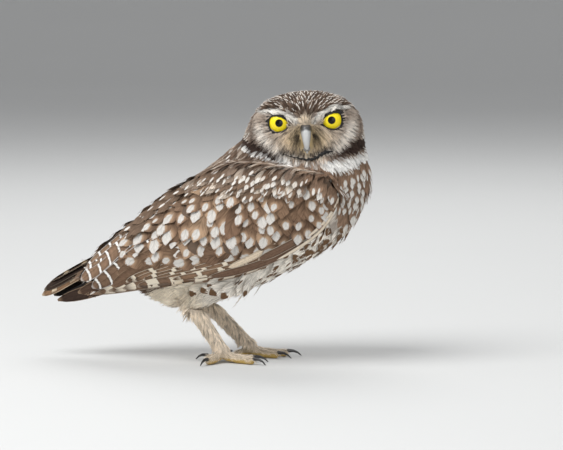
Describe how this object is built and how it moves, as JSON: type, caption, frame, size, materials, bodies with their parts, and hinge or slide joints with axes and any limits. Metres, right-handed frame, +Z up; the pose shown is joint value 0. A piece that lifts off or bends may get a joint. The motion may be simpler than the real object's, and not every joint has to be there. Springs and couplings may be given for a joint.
{
  "type": "burrowing owl model",
  "caption": "Life-size still model of a standing burrowing owl with folded wings, long legs and its head turned over its right shoulder.",
  "frame": {"origin": "on the floor under the middle of the whole model's box", "axes": "+X the way the body faces, along the model's longest side from tail to breast; +Y to the bird's left, which is the model's shortest side; +Z up"},
  "size_m": [0.2018, 0.09, 0.1626],
  "materials": {
    "brown_plumage": "matt brown feathers with pale spots and bars",
    "pale_plumage": "matt cream to tan feathers",
    "eye": "glossy yellow iris with a black pupil and rim",
    "bill": "satin grey horn",
    "foot_skin": "rough tan skin with yellowish pads",
    "claw": "polished black horn"
  },
  "bodies": {
    "root": {"torso": "brown_plumage", "neck": "brown_plumage", "head": "brown_plumage", "eye_right": "eye", "eye_left": "eye", "bill_upper": "bill", "bill_lower": "bill", "wing_right": "brown_plumage", "wing_left": "brown_plumage", "tail": "brown_plumage", "thigh_right": "pale_plumage", "shank_right": "pale_plumage", "foot_right": "foot_skin", "claw_right_inner": "claw", "claw_right_middle": "claw", "claw_right_outer": "claw", "claw_right_hind": "claw", "thigh_left": "pale_plumage", "shank_left": "pale_plumage", "foot_left": "foot_skin", "claw_left_inner": "claw", "claw_left_middle": "claw", "claw_left_outer": "claw", "claw_left_hind": "claw"}
  },
  "joints": []
}
